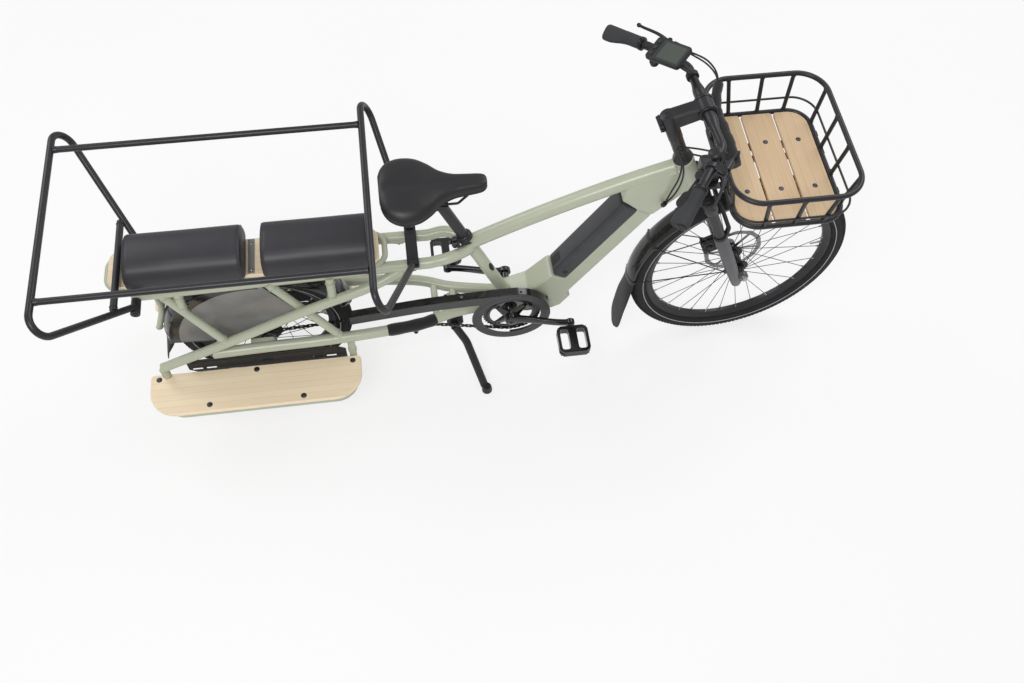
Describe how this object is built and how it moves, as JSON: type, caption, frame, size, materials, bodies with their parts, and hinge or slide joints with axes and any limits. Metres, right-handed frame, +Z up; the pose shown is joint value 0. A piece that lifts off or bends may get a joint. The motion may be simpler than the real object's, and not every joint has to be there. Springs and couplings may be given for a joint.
{
  "type": "longtail cargo bike",
  "caption": "Electric longtail cargo bicycle with a front basket on the frame, a long rear rack with cushions, a passenger guard rail, side footboards and a two-leg stand.",
  "frame": {"origin": "middle of the footprint of the whole bike, on the ground", "axes": "+X forward, +Y to the rider's left, +Z up"},
  "size_m": [2.2032, 0.6844, 1.0687],
  "materials": {
    "frame_paint": "satin sage green",
    "satin_black": "satin black",
    "fork_paint": "satin dark grey",
    "dark_plastic": "matte",
    "mudguard_plastic": "gloss black",
    "smoked_plastic": "smoked, glossy",
    "battery_case": "matte dark grey",
    "tyre_rubber": "matte",
    "grip_rubber": "matte",
    "cable_jacket": "satin",
    "bamboo": "satin varnish",
    "vinyl": "smooth black",
    "bare_steel": "bright",
    "dark_steel": "dark"
  },
  "bodies": {
    "frame": {"front_frame": "frame_paint", "rear_frame": "frame_paint", "battery": "battery_case", "chain_guard": "satin_black", "rack_deck": "bamboo", "cushion_front": "vinyl", "cushion_rear": "vinyl", "rail_side_right": "satin_black", "rail_side_left": "satin_black", "rail_hoop_front": "satin_black", "rail_hoop_rear": "satin_black", "rear_mudguard": "mudguard_plastic", "wheel_cover_right": "smoked_plastic", "wheel_cover_left": "smoked_plastic", "heel_guard_right": "dark_plastic", "heel_guard_left": "dark_plastic", "footboard_right": "bamboo", "footboard_left": "bamboo", "footrest_tube_right": "frame_paint", "footrest_tube_left": "frame_paint", "basket_frame": "satin_black", "basket_floor": "bamboo", "seat_clamp": "satin_black", "chain": "dark_steel", "frame_cables": "cable_jacket"},
    "steering": {"fork_crown": "satin_black", "stem": "satin_black", "handlebar": "satin_black", "grip_right": "grip_rubber", "grip_left": "grip_rubber", "display": "dark_plastic", "brake_mount_right": "satin_black", "brake_mount_left": "satin_black", "bell": "satin_black", "cable_sleeve": "cable_jacket"},
    "fork_lowers": {"fork_lowers": "fork_paint", "front_mudguard": "mudguard_plastic", "front_axle": "bare_steel"},
    "front_wheel": {"front_tyre": "tyre_rubber", "front_rim": "satin_black", "front_hub": "dark_steel"},
    "rear_wheel": {"rear_tyre": "tyre_rubber", "rear_rim": "satin_black", "rear_hub": "dark_steel"},
    "crankset": {"crank_right": "dark_steel", "crank_left": "satin_black"},
    "pedal_right": {"pedal_right": "dark_plastic"},
    "pedal_left": {"pedal_left": "dark_plastic"},
    "rear_cog": {"rear_cog": "bare_steel"},
    "chain_idler": {"chain_idler": "dark_steel"},
    "kickstand": {"kickstand": "satin_black"},
    "seatpost": {"seatpost": "satin_black", "saddle": "vinyl"},
    "seat_clamp_lever": {"seat_clamp_lever": "satin_black"},
    "brake_lever_right": {"brake_lever_right": "satin_black"},
    "brake_lever_left": {"brake_lever_left": "satin_black"},
    "shift_paddle": {"shift_paddle": "dark_plastic"},
    "display_button_1": {"display_button_1": "dark_plastic"},
    "display_button_2": {"display_button_2": "dark_plastic"},
    "display_button_3": {"display_button_3": "dark_plastic"}
  },
  "joints": [
    {"name": "steering", "type": "hinge", "parent": "frame", "child": "steering", "pos_m": [0.72509, 0.00387, 0.31502], "axis": [-0.3746, 0, 0.9272], "range_deg": [-49, 41]},
    {"name": "fork_travel", "type": "slide", "parent": "steering", "child": "fork_lowers", "axis": [-0.3746, 0, 0.9272], "range_m": [0, 0.05], "stiffness_N_per_m": 6000, "springref_m": -0.03},
    {"name": "front_wheel", "type": "hinge", "parent": "fork_lowers", "child": "front_wheel", "pos_m": [0.76946, 0.00751, 0.33295], "axis": [-0.0702, 0.9971, -0.0283], "continuous": true},
    {"name": "rear_wheel", "type": "hinge", "parent": "frame", "child": "rear_wheel", "pos_m": [-0.65041, 0.00387, 0.258], "axis": [0, 1, 0], "continuous": true},
    {"name": "crank", "type": "hinge", "parent": "frame", "child": "crankset", "pos_m": [0.07459, 0.00387, 0.269], "axis": [0, 1, 0], "continuous": true},
    {"name": "pedal_right", "type": "hinge", "parent": "crankset", "child": "pedal_right", "pos_m": [0.24459, 0.00387, 0.269], "axis": [0, 1, 0], "continuous": true},
    {"name": "pedal_left", "type": "hinge", "parent": "crankset", "child": "pedal_left", "pos_m": [-0.09541, 0.00387, 0.269], "axis": [0, 1, 0], "continuous": true},
    {"name": "rear_cog", "type": "hinge", "parent": "frame", "child": "rear_cog", "pos_m": [-0.65041, 0.00387, 0.258], "axis": [0, 1, 0], "continuous": true},
    {"name": "chain_idler", "type": "hinge", "parent": "frame", "child": "chain_idler", "pos_m": [-0.21041, 0.00387, 0.238], "axis": [0, 1, 0], "continuous": true},
    {"name": "kickstand", "type": "hinge", "parent": "frame", "child": "kickstand", "pos_m": [-0.09141, 0.00387, 0.185], "axis": [0, 1, 0], "range_deg": [0, 110]},
    {"name": "seatpost_height", "type": "slide", "parent": "frame", "child": "seatpost", "axis": [-0.3738, 0, 0.9275], "range_m": [-0.09, 0.06]},
    {"name": "seat_clamp_lever", "type": "hinge", "parent": "frame", "child": "seat_clamp_lever", "pos_m": [-0.08032, -0.01643, 0.57314], "axis": [0.3738, 0, -0.9275], "range_deg": [0, 70]},
    {"name": "brake_lever_left", "type": "hinge", "parent": "steering", "child": "brake_lever_left", "pos_m": [0.50426, 0.23119, 1.00812], "axis": [-0.3746, 0, 0.9272], "range_deg": [0, 14], "stiffness_Nm_per_rad": 1.2, "springref_deg": -14.32},
    {"name": "brake_lever_right", "type": "hinge", "parent": "steering", "child": "brake_lever_right", "pos_m": [0.53548, -0.21255, 1.02074], "axis": [0.3746, 0, -0.9272], "range_deg": [0, 14], "stiffness_Nm_per_rad": 1.2, "springref_deg": -14.32},
    {"name": "shift_paddle", "type": "hinge", "parent": "steering", "child": "shift_paddle", "pos_m": [0.48309, -0.18816, 1.00176], "axis": [-0.3746, 0, 0.9272], "range_deg": [0, 20], "stiffness_Nm_per_rad": 0.6, "springref_deg": -8.59},
    {"name": "display_button_1", "type": "slide", "parent": "steering", "child": "display_button_1", "axis": [0.3746, 0, -0.9272], "range_m": [0, 0.001], "stiffness_N_per_m": 600, "springref_m": -0.001},
    {"name": "display_button_2", "type": "slide", "parent": "steering", "child": "display_button_2", "axis": [0.3746, 0, -0.9272], "range_m": [0, 0.001], "stiffness_N_per_m": 600, "springref_m": -0.001},
    {"name": "display_button_3", "type": "slide", "parent": "steering", "child": "display_button_3", "axis": [0.3746, 0, -0.9272], "range_m": [0, 0.001], "stiffness_N_per_m": 600, "springref_m": -0.001}
  ],
  "couplings": [
    {"joint": "rear_cog", "follows": "crank", "ratio": 2.3333},
    {"joint": "chain_idler", "follows": "crank", "ratio": -3.8182}
  ]
}
